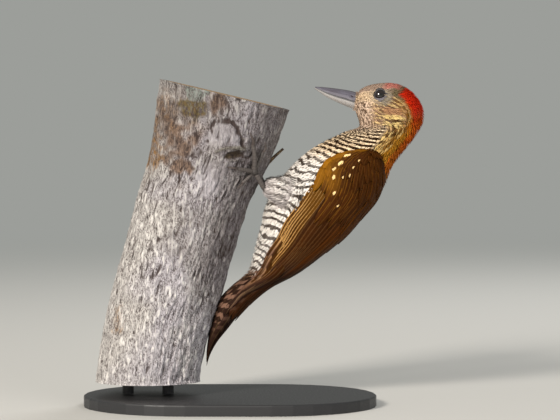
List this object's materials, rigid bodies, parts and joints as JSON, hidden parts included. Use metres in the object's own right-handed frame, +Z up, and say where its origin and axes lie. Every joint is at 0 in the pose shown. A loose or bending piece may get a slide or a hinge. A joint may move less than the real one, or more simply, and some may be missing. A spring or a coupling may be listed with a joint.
{
  "type": "woodpecker",
  "caption": "Life-size small woodpecker with barred belly and red nape, clinging upright to a short cut length of limb on a plain display stand.",
  "frame": {"origin": "centre of the stand's flat underside", "axes": "+Z up; +X from the limb towards the bird's back; -Y towards the bird's left side"},
  "size_m": [0.1533, 0.094, 0.1472],
  "materials": {
    "head_plumage": "dense short feathers, rough",
    "neck_plumage": "soft feathers, rough",
    "barred_plumage": "soft barred feathers, rough",
    "thigh_plumage": "short soft feathers, rough",
    "wing_plumage": "stiff flight feathers and coverts, slight sheen",
    "tail_plumage": "stiff tail feathers, slight sheen",
    "bill_horn": "horn, satin",
    "bill_horn_pale": "horn, satin",
    "eye_dark": "wet and glossy",
    "foot_skin": "scaly skin, satin",
    "bark": "rough grey bark, sawn top and foot",
    "stand_paint": "dark matt paint"
  },
  "bodies": {
    "root": {"head": "head_plumage", "neck": "neck_plumage", "trunk": "barred_plumage", "thigh_left": "thigh_plumage", "thigh_right": "thigh_plumage", "wing_left": "wing_plumage", "wing_right": "wing_plumage", "tail": "tail_plumage", "bill_upper": "bill_horn", "bill_lower": "bill_horn_pale", "eye_left": "eye_dark", "eye_right": "eye_dark", "shank_left": "foot_skin", "shank_right": "foot_skin", "foot_left": "foot_skin", "foot_right": "foot_skin", "perch_limb": "bark", "stand_base": "stand_paint", "stand_rod_1": "stand_paint", "stand_rod_2": "stand_paint"}
  },
  "joints": []
}
